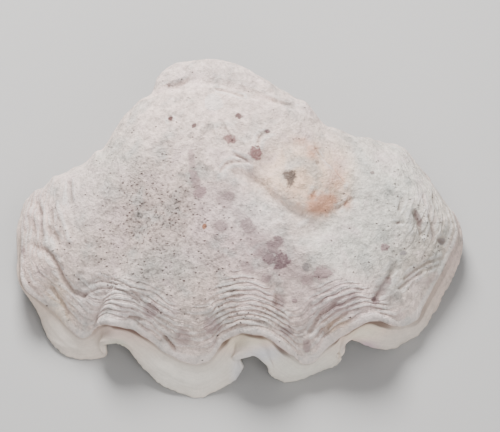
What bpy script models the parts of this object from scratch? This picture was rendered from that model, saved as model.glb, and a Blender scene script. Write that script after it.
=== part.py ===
"""Giant clam valve, lying hollow side down on its margin, as one closed solid."""
import math

import bmesh
import bpy
import numpy as np

METRE = 0.001                  # the sizes below are in millimetres

NODE = "clam_shell"
SUMMIT = (-18.0, 162.0, 83.0)  # top of the valve before the umbo is raised on it
STEP_ROUND = 6.6               # spacing of the mesh round the margin

OLD_LAYER = 2.8                # thickness of the worn outer layer that ends in the ledge
LEDGE_UNDERCUT = 1.0
LIP_CROWN = 1.8                # how far the smooth lip bulges between ledge and edge
EDGE_THICK = 4.5
EDGE_ROUND = 1.3
WALL_MIDDLE = 8.0
WALL_TOP = 11.0
HINGE_THICK = 21.0             # the thick plate under the umbo
RIB_FADE = 3.0                 # the ribs die out towards the summit with this power
TERRACE_RISE = 1.0             # growth terraces near the ledge
TERRACE_DROP = 0.9

UMBO_RISE = (0.0, 7.0, 12.0)
BEAK_PUSH = (-1.0, 11.0, 5.5)  # at the beak's blunt left end, fading to the right
CREASE_DEPTH = 4.5
CREASE_WIDTH = 4.0

SCAR_CENTRE = (42.0, 118.0)    # the raised round scab with a moat on its lower left
SCAR_RADIUS = 27.0
SCAR_RISE = 4.0
MOAT_DEPTH = 3.2
MOAT_WIDTH = 7.5

# Round the margin from the left end along the front: the lip's edge x, y, z, then the ledge above it x, y, z
MARGIN = (
    (-145, 78, 14, -141, 69, 26),
    (-137, 65, 9, -131, 62, 23),
    (-125, 40, 3, -119, 53, 18),
    (-116, 32, 1, -112, 46, 15),
    (-103, 29, -1.5, -104, 40.5, 13),      # first tongue
    (-91, 30, 1, -97, 43, 15),
    (-88, 32, 7, -93.5, 43.5, 20),
    (-88.5, 33, 15, -90, 41.5, 27),
    (-82, 29, 24, -82.5, 37.5, 36),        # first arch
    (-76, 28, 21, -75, 37.5, 34),
    (-65, 19, 11, -60.5, 33, 27),
    (-53, 9, 5, -49, 25.5, 21),
    (-41, 4, 1.5, -37, 20, 18),
    (-27, 0.5, -1.5, -28, 18.5, 17),       # second tongue
    (-13, 6, 2, -20, 20.5, 19),
    (-2, 12, 6, -14, 26.5, 25),
    (1, 17, 12, -8, 29.5, 32),
    (-1, 18.5, 21, -1, 29.5, 38),
    (9, 16, 30, 7, 27.5, 43),              # second arch
    (16, 14, 26, 15, 26.5, 41),
    (20, 12, 14, 24, 23.5, 34),
    (26, 11, 5, 33, 21, 25),
    (33, 12, -1.5, 41, 19, 17),            # third tongue
    (44, 14.5, 1, 48, 19.5, 18),
    (55, 19, 3, 54, 25, 22),
    (64.5, 21.5, 8, 62, 30, 28),
    (65.5, 25, 17, 70, 32.5, 35),
    (73, 29.5, 26, 85, 38.5, 40),          # third arch
    (84, 31, 16, 93.5, 39.5, 34),
    (96, 35, 5, 99.5, 41.5, 26),
    (110, 42, -1.5, 105, 44.5, 20),        # fourth tongue
    (119, 47, 1, 115, 50, 17),
    (129, 62, 3, 121, 61, 18),
    (138, 79, 7, 129.5, 76, 22),
    (145, 93.5, 10, 138, 92.5, 25),
    (149, 111, 13, 144.5, 109, 28),        # right end
    (147, 123, 12, 142, 121, 28),
    (141, 136, 9, 136.5, 133, 26),
    (132, 150, 7, 128, 147, 24),
    (121, 170, 5, 118, 166, 23),
    (105, 180, 4, 103, 176, 22),
    (80, 172, 2, 79, 168, 20),
    (58, 172, 0, 57, 168, 18),
    (36, 189, -1.5, 35, 185, 18),          # hinge
    (10, 199, -1.5, 10, 195, 18),
    (-20, 201, -1.5, -20, 197, 18),
    (-48, 197, -1.5, -47, 193, 18),
    (-70, 187, 2, -68, 183, 20),
    (-86, 171, 5, -84, 167, 22),
    (-99, 158, 8, -96, 154, 24),
    (-114, 152, 10, -111, 148, 26),
    (-130, 148, 11, -127, 144, 27),
    (-143, 141, 12, -139, 138, 28),
    (-148.5, 124, 13, -144, 122, 29),
    (-148.5, 101, 14, -144, 99, 29),
)

# The dark crease between the umbo's beak and the body, as x, y in plan
CREASE = ((-62, 179), (-57, 183), (-37, 188), (-27, 187), (0, 180), (20, 175), (40, 169), (58, 160))

# Steps down each meridian: 0 is the summit, 1 the ledge and 2 the lip's edge
BODY_STEPS = (0.05, 0.12, 0.2, 0.28, 0.36, 0.44, 0.52, 0.6, 0.67)
TERRACES = (0.74, 0.81, 0.875, 0.935)
TERRACE_FOOT = 0.012
LIP_STEPS = (1.35, 1.7, 2.0)
INNER_STEPS = (1.6, 1.2, 0.97, 0.82, 0.66, 0.5, 0.34, 0.17)


def smooth_step(value, low, high):
    part = np.clip((value - low) / (high - low), 0.0, 1.0)
    return part * part * (3.0 - 2.0 * part)


def margin_loops():
    """The lip's edge and the ledge as closed smooth curves through the stations."""
    here = np.array(MARGIN, dtype=float)
    after = np.roll(here, -1, axis=0)
    before = np.roll(here, 1, axis=0)
    gap = after - here
    span = 0.5 * (np.linalg.norm(gap[:, :3], axis=1) + np.linalg.norm(gap[:, 3:], axis=1))
    span_before = np.roll(span, 1)
    ahead = gap / span[:, None] * span_before[:, None]
    behind = (here - before) / span_before[:, None] * span[:, None]
    slope = (ahead + behind) / (span + span_before)[:, None]
    pieces = []
    for row in range(len(here)):
        count = max(1, round(span[row] / STEP_ROUND))
        u = (np.arange(count) / count)[:, None]
        following = (row + 1) % len(here)
        pieces.append(
            (2 * u**3 - 3 * u**2 + 1) * here[row]
            + (u**3 - 2 * u**2 + u) * span[row] * slope[row]
            + (3 * u**2 - 2 * u**3) * here[following]
            + (u**3 - u**2) * span[row] * slope[following]
        )
    loop = np.vstack(pieces)
    return loop[:, :3], loop[:, 3:]


def low_pass(loop, waves):
    """The closed curve with everything finer than so many waves taken out."""
    spectrum = np.fft.rfft(loop, axis=0)
    wave = np.arange(len(spectrum))
    spectrum *= np.exp(-((wave / waves) ** 4))[:, None]
    return np.fft.irfft(spectrum, n=len(loop), axis=0)


def raise_umbo(points):
    """Both faces of the wall swell towards the umbo."""
    x, y, z = points[..., 0], points[..., 1], points[..., 2]
    across = smooth_step(x, -102, -66) * (1 - smooth_step(x, 16, 66))
    weight = across * smooth_step(y, 90, 172) * smooth_step(z, 12, 52)
    return points + weight[..., None] * np.array(UMBO_RISE)


def raise_beak(points):
    """The beak stands up beyond its crease, with a blunt end on the left."""
    x, y, z = points[..., 0], points[..., 1], points[..., 2]
    crease = np.array(CREASE, dtype=float)
    beyond = y - np.interp(x, crease[:, 0], crease[:, 1])
    high = smooth_step(z, 18, 58)
    blunt = smooth_step(x, -61, -50)
    taper = 1 - smooth_step(x, -40, 55)
    push = blunt * taper * smooth_step(beyond, -3, 8) * high
    valley = smooth_step(x, -68, -56) * (1 - smooth_step(x, 30, 60)) * high
    result = points + push[..., None] * np.array(BEAK_PUSH)
    result[..., 2] -= CREASE_DEPTH * valley * np.exp(-(((beyond + 0.5) / CREASE_WIDTH) ** 2))
    return result


def surface_lumps(points):
    """Height of the scab and its moat, and of the body's slow unevenness."""
    x, y = points[..., 0], points[..., 1]
    dx = x - SCAR_CENTRE[0]
    dy = y - SCAR_CENTRE[1]
    radius = np.hypot(dx, dy)
    scab = SCAR_RISE * (1 - smooth_step(radius, 0.45 * SCAR_RADIUS, SCAR_RADIUS))
    lower_left = smooth_step(-(0.8 * dx + 0.6 * dy) / (radius + 1), -0.1, 0.5)
    moat = MOAT_DEPTH * lower_left * np.exp(-(((radius - 1.1 * SCAR_RADIUS) / MOAT_WIDTH) ** 2))
    slow = 0.7 * np.sin(0.055 * x + 0.03 * y + 1.0) * np.sin(0.05 * y - 0.02 * x + 0.4)
    quick = 0.45 * np.sin(0.13 * x - 0.07 * y) * np.sin(0.11 * y + 0.05 * x + 2.0)
    return scab - moat + slow + quick


class Valve:
    """The valve's faces, worked out meridian by meridian from the margin's two curves."""

    def __init__(self):
        self.lip, self.ledge = margin_loops()
        self.count = len(self.lip)
        self.plain_ledge = low_pass(self.ledge, 4.2)
        away = self.plain_ledge - np.array(SUMMIT)
        facing = away[:, 1] / np.hypot(away[:, 0], away[:, 1])
        back = 0.5 + 0.5 * facing
        self.arc = 0.98 + 0.57 * smooth_step(back, 0.0, 0.75)
        self.power = 2.0 + 2.6 * back**3
        self.front = 1 - smooth_step(back, 0.12, 0.42)
        self.hinge = smooth_step(facing, 0.35, 0.85)

    def plain(self, step):
        """Newer shell under the old layer: one ring of points at a step down the meridians."""
        down = min(step, 1.0)
        angle = down * self.arc
        power = 2.0 / self.power
        out = (np.sin(angle) / np.sin(self.arc)) ** power
        drop = (1 - np.cos(angle) ** power) / (1 - np.cos(self.arc) ** power)
        ring = np.array(SUMMIT) + (self.plain_ledge - np.array(SUMMIT)) * np.stack((out, out, drop), axis=1)
        ring = ring + (self.ledge - self.plain_ledge) * down**RIB_FADE
        if step > 1.0:
            ring = ring + (self.lip - self.ledge) * (step - 1.0)
        return raise_umbo(ring)

    def outward(self, step):
        """The surface's outward normals on a ring."""
        nudge = 0.02
        below = self.plain(min(step + nudge, 2.0))
        above = self.plain(max(step - nudge, 0.001))
        ring = self.plain(step)
        round_way = np.roll(ring, -1, axis=0) - np.roll(ring, 1, axis=0)
        normal = np.cross(below - above, round_way)
        return normal / np.linalg.norm(normal, axis=1, keepdims=True)

    def outer(self, step, extra):
        """A ring on the old layer, with extra height in front where the growth terraces are."""
        height = OLD_LAYER * (0.35 + 0.65 * self.front) + extra * self.front
        ring = self.plain(step)
        height = height + surface_lumps(ring) * (1 - smooth_step(step, 0.7, 1.0))
        return raise_beak(ring + self.outward(step) * height[:, None])

    def lip_ring(self, step):
        share = step - 1.0
        crown = LIP_CROWN * 4 * share * (1 - share) * self.front
        return self.plain(step) + self.outward(step) * crown[:, None]

    def inner(self, step):
        wall = WALL_MIDDLE + (WALL_TOP - WALL_MIDDLE) * (1 - smooth_step(step, 0.0, 0.6))
        wall = wall + (EDGE_THICK - WALL_MIDDLE) * smooth_step(step, 0.8, 2.0)
        hinge = WALL_TOP + (HINGE_THICK - WALL_TOP) * smooth_step(step, 0.5, 1.1)
        thick = wall + (hinge - wall) * self.hinge
        return self.plain(step) - self.outward(step) * thick[:, None]

    def rings(self):
        """Every ring from the outer summit over the lip's edge to the inner summit."""
        found = [self.outer(step, 0.0) for step in BODY_STEPS]
        for step in TERRACES:
            found.append(self.outer(step, TERRACE_RISE))
            found.append(self.outer(step + TERRACE_FOOT, -TERRACE_DROP))
        found.append(self.outer(1.0, 0.4))
        foot = self.plain(1.0)
        found.append(foot + (self.plain(0.97) - foot) * (LEDGE_UNDERCUT / 4.0))
        found += [self.lip_ring(step) for step in LIP_STEPS]
        edge_in = self.inner(2.0)
        outwards = self.lip - self.plain(1.8)
        outwards /= np.linalg.norm(outwards, axis=1, keepdims=True)
        found.append(0.5 * (found[-1] + edge_in) + outwards * EDGE_ROUND)
        found.append(edge_in)
        found += [self.inner(step) for step in INNER_STEPS]
        return found

    def poles(self):
        top = raise_umbo(np.array([SUMMIT]))
        outside = top + np.array((0.0, 0.0, OLD_LAYER * 0.35))
        outside[:, 2] += surface_lumps(top)
        return outside[0], (top - np.array((0.0, 0.0, WALL_TOP)))[0]


def shape_sphere(valve):
    """A UV sphere whose rings are moved onto the valve's rings."""
    rings = valve.rings()
    outside, inside = valve.poles()
    mesh = bmesh.new()
    bmesh.ops.create_uvsphere(mesh, u_segments=valve.count, v_segments=len(rings) + 1, radius=1.0)
    ring_angle = math.pi / (len(rings) + 1)
    turn_angle = 2 * math.pi / valve.count
    for vert in mesh.verts:
        ring = round(math.acos(max(-1.0, min(1.0, vert.co.z))) / ring_angle)
        turn = round(math.atan2(vert.co.y, vert.co.x) / turn_angle) % valve.count
        if ring == 0:
            vert.co = outside
        elif ring > len(rings):
            vert.co = inside
        else:
            vert.co = rings[ring - 1][turn]
    return mesh


def settle(mesh):
    """Worn flat where it stands, and centred over the origin of its own box."""
    for vert in mesh.verts:
        vert.co.z = max(vert.co.z, 0.0)
    places = np.array([vert.co[:] for vert in mesh.verts])
    middle = 0.5 * (places.min(axis=0) + places.max(axis=0))
    for vert in mesh.verts:
        vert.co.x = (vert.co.x - middle[0]) * METRE
        vert.co.y = (vert.co.y - middle[1]) * METRE
        vert.co.z = vert.co.z * METRE


def shell_material():
    material = bpy.data.materials.new("weathered_shell")
    material.use_nodes = True
    shader = material.node_tree.nodes["Principled BSDF"]
    shader.inputs["Base Color"].default_value = (0.56, 0.51, 0.48, 1.0)
    shader.inputs["Roughness"].default_value = 0.75
    shader.inputs["Metallic"].default_value = 0.0
    return material


def build_shell(collection):
    solid = shape_sphere(Valve())
    settle(solid)
    bmesh.ops.triangulate(solid, faces=solid.faces)
    data = bpy.data.meshes.new(NODE)
    solid.to_mesh(data)
    solid.free()
    data.materials.append(shell_material())
    data.shade_smooth()
    data.set_sharp_from_angle(angle=math.radians(40))
    collection.objects.link(bpy.data.objects.new(NODE, data))


def main():
    for item in list(bpy.data.objects):
        bpy.data.objects.remove(item, do_unlink=True)
    collection = bpy.data.collections.new("giant_clam_shell")
    bpy.context.scene.collection.children.link(collection)
    build_shell(collection)


main()
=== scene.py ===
import math

import bpy
import numpy as np
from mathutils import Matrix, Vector


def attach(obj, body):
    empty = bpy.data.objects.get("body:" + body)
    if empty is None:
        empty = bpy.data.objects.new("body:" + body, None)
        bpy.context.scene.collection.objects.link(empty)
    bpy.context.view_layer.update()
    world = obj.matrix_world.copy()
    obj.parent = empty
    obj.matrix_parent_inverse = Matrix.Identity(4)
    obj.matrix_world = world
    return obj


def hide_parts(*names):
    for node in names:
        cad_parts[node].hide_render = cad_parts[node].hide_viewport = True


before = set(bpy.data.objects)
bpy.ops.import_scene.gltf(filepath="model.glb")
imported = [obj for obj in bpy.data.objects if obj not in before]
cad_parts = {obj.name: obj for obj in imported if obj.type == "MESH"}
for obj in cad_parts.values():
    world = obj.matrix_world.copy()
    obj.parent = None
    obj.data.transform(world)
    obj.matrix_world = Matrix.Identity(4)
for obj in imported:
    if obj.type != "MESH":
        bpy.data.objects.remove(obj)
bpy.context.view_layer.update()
print("frame loaded")

# where a point of the valve is seen in the photograph, in its pixels; the valve's lengths are in millimetres
photoView = {
    "pixelsPerMm": 1.5,
    "originPixel": (240.0, 397.0),     # the valve's own x = 0, y = 0, z = 0
    "cameraAbove": math.radians(60),   # height of the camera over the surface
}

valveForm = {
    "mm": 0.001,
    "planCentre": (-0.11, 106.48),     # taken off, so that the box is centred as the frame's is
    "summit": (-18.0, 162.0, 83.0),
    "frontSpacing": 1.3,               # between the columns round the margin
    "backSpacing": 3.0,
    "frontStations": 36,
    "curveSpacing": 2.0,
    "plainWaves": 4.2,                 # finer waves than this belong to the ribs
    "ribFade": 3.0,
    "umboRise": (0.0, 7.0, 12.0),
    "beakPush": (-1.0, 11.0, 5.5),
    "creaseDepth": 1.7,
    "creaseWidth": 1.7,
    "scarCentre": (42.0, 118.0),
    "scarRadius": 27.0,
    "scarRise": 4.0,
    "moatDepth": 3.2,
    "moatWidth": 6.5,
    "bodyRings": 88,
    "bodyEnd": 0.635,
    "growthEdges": (0.664, 0.696, 0.724, 0.754, 0.78, 0.808, 0.834, 0.862, 0.888, 0.916, 0.946, 1.0),
    "growthParts": (0.0, 0.2, 0.55, 0.85, 1.0),
    "growthHeights": (0.0, 0.5, 0.85, 1.0, 0.72),   # each band is a rounded fold with a sharp foot
    "growthRise": 1.0,
    "backGrowth": 0.6,
    "archReach": 9.0,
    "oldLayer": 2.9,
    "lipRings": 22,
    "lipCrown": 2.3,
    "edgeThick": 4.5,
    "edgeRound": 1.3,
    "edgeArc": ((0.22, 0.8), (0.5, 1.0), (0.78, 0.8)),   # share of the edge's thickness, push outwards
    "wallMiddle": 8.0,
    "wallTop": 11.0,
    "hingeThick": 21.0,
    "innerRings": 24,
    "innerSmoothing": 30,
    "smoothFrom": 5,                   # rings in from the margin
    "carveDepth": 1.4,                 # times the depths in carvings
}

# round the margin from the left end along the front: the lip's edge x, y, z, then the ledge above it x, y, z
marginStations = (
    (-145, 78, 14, -141, 69, 26), (-137, 65, 9, -131, 62, 23), (-125, 40, 3, -119, 53, 18),
    (-116, 32, 1, -112, 46, 15), (-103, 29, -1.5, -104, 40.5, 13), (-91, 30, 1, -97, 43, 15),
    (-88, 32, 7, -93.5, 43.5, 20), (-88.5, 33, 15, -90, 41.5, 27), (-82, 29, 24, -82.5, 37.5, 36),
    (-76, 28, 21, -75, 37.5, 34), (-65, 19, 11, -60.5, 33, 27), (-53, 9, 5, -49, 25.5, 21),
    (-41, 4, 1.5, -37, 20, 18), (-27, 0.5, -1.5, -28, 18.5, 17), (-13, 6, 2, -20, 20.5, 19),
    (-2, 12, 6, -14, 26.5, 25), (1, 17, 12, -8, 29.5, 32), (-1, 18.5, 21, -1, 29.5, 38),
    (9, 16, 30, 7, 27.5, 43), (16, 14, 26, 15, 26.5, 41), (20, 12, 14, 24, 23.5, 34),
    (26, 11, 5, 33, 21, 25), (33, 12, -1.5, 41, 19, 17), (44, 14.5, 1, 48, 19.5, 18),
    (55, 19, 3, 54, 25, 22), (64.5, 21.5, 8, 62, 30, 28), (65.5, 25, 17, 70, 32.5, 35),
    (73, 29.5, 26, 85, 38.5, 40), (84, 31, 16, 93.5, 39.5, 34), (96, 35, 5, 99.5, 41.5, 26),
    (110, 42, -1.5, 105, 44.5, 20), (119, 47, 1, 115, 50, 17), (129, 62, 3, 121, 61, 18),
    (138, 79, 7, 129.5, 76, 22), (145, 93.5, 10, 138, 92.5, 25), (149, 111, 13, 144.5, 109, 28),
    (147, 123, 12, 142, 121, 28), (141, 136, 9, 136.5, 133, 26), (132, 150, 7, 128, 147, 24),
    (121, 170, 5, 118, 166, 23), (105, 180, 4, 103, 176, 22), (80, 172, 2, 79, 168, 20),
    (58, 172, 0, 57, 168, 18), (36, 189, -1.5, 35, 185, 18), (10, 199, -1.5, 10, 195, 18),
    (-20, 201, -1.5, -20, 197, 18), (-48, 197, -1.5, -47, 193, 18), (-70, 187, 2, -68, 183, 20),
    (-86, 171, 5, -84, 167, 22), (-99, 158, 8, -96, 154, 24), (-114, 152, 10, -111, 148, 26),
    (-130, 148, 11, -127, 144, 27), (-143, 141, 12, -139, 138, 28), (-148.5, 124, 13, -144, 122, 29),
    (-148.5, 101, 14, -144, 99, 29),
)
creaseLine = ((-62, 179), (-57, 183), (-37, 188), (-27, 187), (0, 180), (20, 175), (40, 169), (58, 160))


def smoothStep(value, low, high):
    part = np.clip((value - low) / (high - low), 0.0, 1.0)
    return part * part * (3.0 - 2.0 * part)


def photoPixels(points):
    x, y, z = points[..., 0], points[..., 1], points[..., 2]
    up = y * math.sin(photoView["cameraAbove"]) + z * math.cos(photoView["cameraAbove"])
    scale = photoView["pixelsPerMm"]
    return photoView["originPixel"][0] + scale * x, photoView["originPixel"][1] - scale * up


def waves(value, length, seed, count=5):  # a smooth random line, about -1 to 1
    rng = np.random.default_rng(seed)
    total = np.zeros_like(value, dtype=float)
    for number in range(count):
        total += np.sin(2 * math.pi * value / (length * rng.uniform(0.6, 1.7)) + rng.uniform(0, 6.28))
    return total / math.sqrt(count)


def marginAt(place):  # place counts stations, with a smooth closed curve through them
    here = np.array(marginStations, dtype=float)
    after, before = np.roll(here, -1, axis=0), np.roll(here, 1, axis=0)
    gap = after - here
    span = 0.5 * (np.linalg.norm(gap[:, :3], axis=1) + np.linalg.norm(gap[:, 3:], axis=1))
    spanBefore = np.roll(span, 1)
    slope = gap * (spanBefore / span)[:, None] + (here - before) * (span / spanBefore)[:, None]
    slope /= (span + spanBefore)[:, None]
    row = np.floor(place).astype(int) % len(here)
    following = (row + 1) % len(here)
    u = (place - np.floor(place))[:, None]
    reach = span[row][:, None]
    curve = (2 * u**3 - 3 * u**2 + 1) * here[row] + (u**3 - 2 * u**2 + u) * reach * slope[row]
    curve += (3 * u**2 - 2 * u**3) * here[following] + (u**3 - u**2) * reach * slope[following]
    return curve, span


def columnPlaces(spacings):
    span = marginAt(np.zeros(1))[1]
    counts = np.maximum(1, np.round(span / spacings)).astype(int)
    return np.concatenate([row + np.arange(count) / count for row, count in enumerate(counts)])


def spread(values, along, reach):  # a running mean along the margin, over its own length in millimetres
    gap = np.abs(along[:, None] - along[None, :])
    weight = np.exp(-((np.minimum(gap, along[-1] - gap) / reach) ** 2))
    return np.tensordot(weight / weight.sum(axis=1, keepdims=True), values, axes=(1, 0))


def lengthAlong(curve):  # how far round the closed curve each of its points lies
    steps = np.linalg.norm(np.roll(curve, -1, axis=0) - curve, axis=1)
    return np.concatenate(((0.0,), np.cumsum(steps)[:-1]))


def columns():
    form = valveForm
    total = len(marginStations)
    even = columnPlaces(np.full(total, form["curveSpacing"]))
    spectrum = np.fft.rfft(marginAt(even)[0][:, 3:], axis=0)
    wave = np.arange(len(spectrum))
    spectrum *= np.exp(-((wave / form["plainWaves"]) ** 4))[:, None]
    plain = np.fft.irfft(spectrum, n=len(even), axis=0)
    spacings = np.where(np.arange(total) < form["frontStations"], form["frontSpacing"], form["backSpacing"])
    place = columnPlaces(spacings)
    curve = marginAt(place)[0]
    column = {"lip": curve[:, :3], "ledge": curve[:, 3:]}
    plainAxes = [np.interp(place, even, plain[:, axis], period=total) for axis in range(3)]
    column["plain"] = np.stack(plainAxes, axis=1)
    away = column["plain"] - np.array(form["summit"])
    facing = away[:, 1] / np.hypot(away[:, 0], away[:, 1])
    back = 0.5 + 0.5 * facing
    column["arc"] = 0.98 + 0.57 * smoothStep(back, 0.0, 0.75)
    column["power"] = 2.0 + 2.6 * back**3
    column["front"] = 1 - smoothStep(back, 0.12, 0.42)
    column["hinge"] = smoothStep(facing, 0.35, 0.85)
    column["arch"] = smoothStep(column["ledge"][:, 2], 17, 36)   # 0 on a tongue, 1 on an arch
    column["across"] = lengthAlong(column["ledge"])
    column["lipAcross"] = lengthAlong(column["lip"])
    column["wideArch"] = spread(column["arch"], column["across"], form["archReach"])
    return column


def raiseUmbo(points):
    x, y, z = points[..., 0], points[..., 1], points[..., 2]
    across = smoothStep(x, -102, -66) * (1 - smoothStep(x, 16, 66))
    weight = across * smoothStep(y, 90, 172) * smoothStep(z, 12, 52)
    return points + weight[..., None] * np.array(valveForm["umboRise"])


def raiseBeak(points):
    x, y, z = points[..., 0], points[..., 1], points[..., 2]
    crease = np.array(creaseLine, dtype=float)
    beyond = y - np.interp(x, crease[:, 0], crease[:, 1])
    high = smoothStep(z, 18, 58)
    push = smoothStep(x, -61, -50) * (1 - smoothStep(x, -40, 55)) * smoothStep(beyond, -3, 8) * high
    valley = smoothStep(x, -68, -56) * (1 - smoothStep(x, 30, 60)) * high
    result = points + push[..., None] * np.array(valveForm["beakPush"])
    cut = np.exp(-(((beyond + 0.5) / valveForm["creaseWidth"]) ** 2))
    result[..., 2] -= valveForm["creaseDepth"] * valley * cut
    return result


def surfaceLumps(points):
    form = valveForm
    x, y = points[..., 0], points[..., 1]
    dx, dy = x - form["scarCentre"][0], y - form["scarCentre"][1]
    radius = np.hypot(dx, dy)
    scab = form["scarRise"] * (1 - smoothStep(radius, 0.45 * form["scarRadius"], form["scarRadius"]))
    lowerLeft = smoothStep(-(0.8 * dx + 0.6 * dy) / (radius + 1), -0.1, 0.5)
    moat = form["moatDepth"] * lowerLeft
    moat = moat * np.exp(-(((radius - 1.1 * form["scarRadius"]) / form["moatWidth"]) ** 2))
    slow = 0.7 * np.sin(0.055 * x + 0.03 * y + 1.0) * np.sin(0.05 * y - 0.02 * x + 0.4)
    quick = 0.45 * np.sin(0.13 * x - 0.07 * y) * np.sin(0.11 * y + 0.05 * x + 2.0)
    return scab - moat + slow + quick


def plainSurface(column, step):  # 0 summit, 1 ledge, 2 lip's edge; step is rings by columns
    summit = np.array(valveForm["summit"])
    down = np.clip(step, 0.0, 1.0)
    power = 2.0 / column["power"]
    out = (np.sin(down * column["arc"]) / np.sin(column["arc"])) ** power
    drop = (1 - np.cos(down * column["arc"]) ** power) / (1 - np.cos(column["arc"]) ** power)
    points = summit + (column["plain"] - summit) * np.stack((out, out, drop), axis=-1)
    points = points + (column["ledge"] - column["plain"]) * (down ** valveForm["ribFade"])[..., None]
    points = points + (column["lip"] - column["ledge"]) * np.clip(step - 1.0, 0.0, 1.0)[..., None]
    return raiseUmbo(points)


def surfaceWays(column, step):  # the surface's outward normal, and its way down towards the edge
    nudge = 0.02
    downWay = plainSurface(column, np.minimum(step + nudge, 2.0))
    downWay = downWay - plainSurface(column, np.maximum(step - nudge, 0.001))
    here = plainSurface(column, step)
    roundWay = np.roll(here, -1, axis=1) - np.roll(here, 1, axis=1)
    normal = np.cross(downWay, roundWay)
    normal /= np.linalg.norm(normal, axis=-1, keepdims=True)
    return normal, downWay / np.linalg.norm(downWay, axis=-1, keepdims=True)


def flankShare(column):  # 1 on the steep sides between a tongue and an arch, along the lip's edge
    normal = surfaceWays(column, np.full((1, len(column["across"])), 1.9))[0][0]
    steep = smoothStep(np.abs(normal[:, 0]), 0.3, 0.75) * (np.abs(column["lip"][:, 0]) < 105)
    kernel = np.exp(-((np.arange(-4, 5) / 2.0) ** 2))
    wide = np.concatenate((steep[-4:], steep, steep[:4]))
    return np.convolve(wide, kernel / kernel.sum(), mode="valid")


def gridNormals(points):
    downWay = np.gradient(points, axis=0)
    roundWay = np.roll(points, -1, axis=1) - np.roll(points, 1, axis=1)
    normal = np.cross(downWay, roundWay)
    return normal / (np.linalg.norm(normal, axis=-1, keepdims=True) + 1e-9)


# the outline's small swellings and dips: pixel in the photograph, reach in pixels, rise in millimetres
outlineNudges = (
    (106, 149, 7, -2.6), (122, 120, 11, 2.6), (140, 101, 10, 2.0), (222, 63, 20, 1.4), (250, 71, 20, 1.5),
    (158.5, 85, 4, 3.4), (172, 66, 9, 1.8), (200, 59, 8, -0.6), (289, 94, 7, 0.8), (307, 109, 11, 5.2),
    (325, 128, 7, -1.8), (352, 135, 11, -2.8), (402, 150, 12, 3.2), (434, 186, 9, 1.8), (456, 214, 8, 1.8),
    (25, 203, 7, 2.4), (36, 196, 4, 1.4), (46, 187, 4, -1.0), (55, 179, 5, 1.6), (70, 174, 4, -0.8),
    (84, 166, 8, -2.2), (97, 153, 4, 1.2), (376, 141, 4, -0.6), (408, 152, 4, 1.0),
)


def nudgeOutline(points):
    pixelX, pixelY = photoPixels(points)
    lift = np.zeros_like(pixelX)
    for x, y, reach, rise in outlineNudges:
        lift += rise * np.exp(-((np.hypot(pixelX - x, 0.6 * (pixelY - y)) / reach) ** 2))
    upInPhoto = np.array((0.0, math.sin(photoView["cameraAbove"]), math.cos(photoView["cameraAbove"])))
    return points + lift[..., None] * upInPhoto


def softenSummit(points, radius=17.0, reach=6.0):  # all columns meet there, so its folds are ironed out
    centre = points[0, :, :2].mean(axis=0)
    far = np.hypot(points[..., 0] - centre[0], points[..., 1] - centre[1])
    rows = int(np.sum(far.min(axis=1) < radius + 2 * reach))
    part = points[:rows]
    size = np.linalg.norm(np.roll(part, -1, axis=1) - part, axis=-1)
    size = size * np.linalg.norm(np.gradient(part, axis=0), axis=-1)
    source, size = part[:, ::6].reshape(-1, 3), size[:, ::6].ravel()
    for row in range(rows):
        near = part[row, :, None, :2] - source[None, :, :2]
        weight = np.exp(-(near**2).sum(axis=-1) / (0.5 * reach**2)) * size
        smooth = (weight * source[:, 2]).sum(axis=1) / weight.sum(axis=1)
        share = 1 - smoothStep(far[row], 0.5 * radius, radius)
        points[row, :, 2] += share * (smooth - part[row, :, 2])
    return points


growthStart = {  # how far down the meridians the growth bands begin, by the ledge's x
    "x": (-145, -120, -88, -60, -40, -20, 5, 30, 48, 75, 92, 108, 140),
    "step": (0.88, 0.79, 0.75, 0.77, 0.80, 0.74, 0.67, 0.74, 0.80, 0.745, 0.78, 0.90, 0.93),
}


def growthRings(column):  # the steps down, and each ring's share of its own growth band
    form = valveForm
    across = column["across"]
    flat = np.ones_like(across)
    steps = [flat * value for value in np.linspace(0.013, form["bodyEnd"], form["bodyRings"])]
    shares = [0.0 * flat] * len(steps)
    bands = [-1] * len(steps)
    start = flat * form["bodyEnd"] + 0.004
    slow = 0.005 * waves(across, 90, 3)
    for band, edge in enumerate(form["growthEdges"]):
        last = edge == 1.0
        end = flat * edge if last else edge + slow + 0.0035 * waves(across, 26, 20 + band)
        for share in form["growthParts"]:
            steps.append(start + (end - start) * share)
            shares.append(flat * share)
            bands.append(band)
        start = end + 0.0008
    return np.array(steps), np.array(shares), np.array(bands)


def growthHeight(column, steps, shares, bands):
    form = valveForm
    across = column["across"]
    begin = np.interp(column["ledge"][:, 0], growthStart["x"], growthStart["step"])
    region = smoothStep(steps, begin - 0.035, begin + 0.035) * column["front"]
    region = region + form["backGrowth"] * smoothStep(steps, 0.64, 0.8) * (1 - column["front"])
    strong = 0.4 + 0.6 * smoothStep(column["wideArch"], 0.02, 0.4)   # the lines crumple away over the tongues
    ends = smoothStep(np.abs(column["ledge"][:, 0] + 5), 100, 122)
    strong = strong * (1 - 0.9 * ends) * column["front"] + (1 - column["front"])
    height = np.zeros_like(steps)
    rounded = np.interp(shares, form["growthParts"], form["growthHeights"])
    for band in range(len(form["growthEdges"])):
        rows = bands == band
        strength = 0.8 + 0.45 * waves(across, 46, 50 + band) + 0.15 * waves(across, 12, 80 + band)
        strength = np.clip(strength, 0.1, 1.6) * strong
        if form["growthEdges"][band] == 1.0:
            strength = 0.4 + 0.7 * smoothStep(column["arch"], 0.05, 0.5)
        height[rows] = strength * rounded[rows]
    feet = np.where((bands[:, None] > 0) & (shares == 0.0), 1.0, 0.0)
    # painted shade in the groove at each band's foot
    grooveShade = 0.45 * feet * region * strong * np.clip(0.45 + 0.9 * waves(across, 17, 9), 0, 1)
    return form["growthRise"] * height * region, grooveShade, region * (1 - 0.7 * ends * column["front"])


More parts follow.
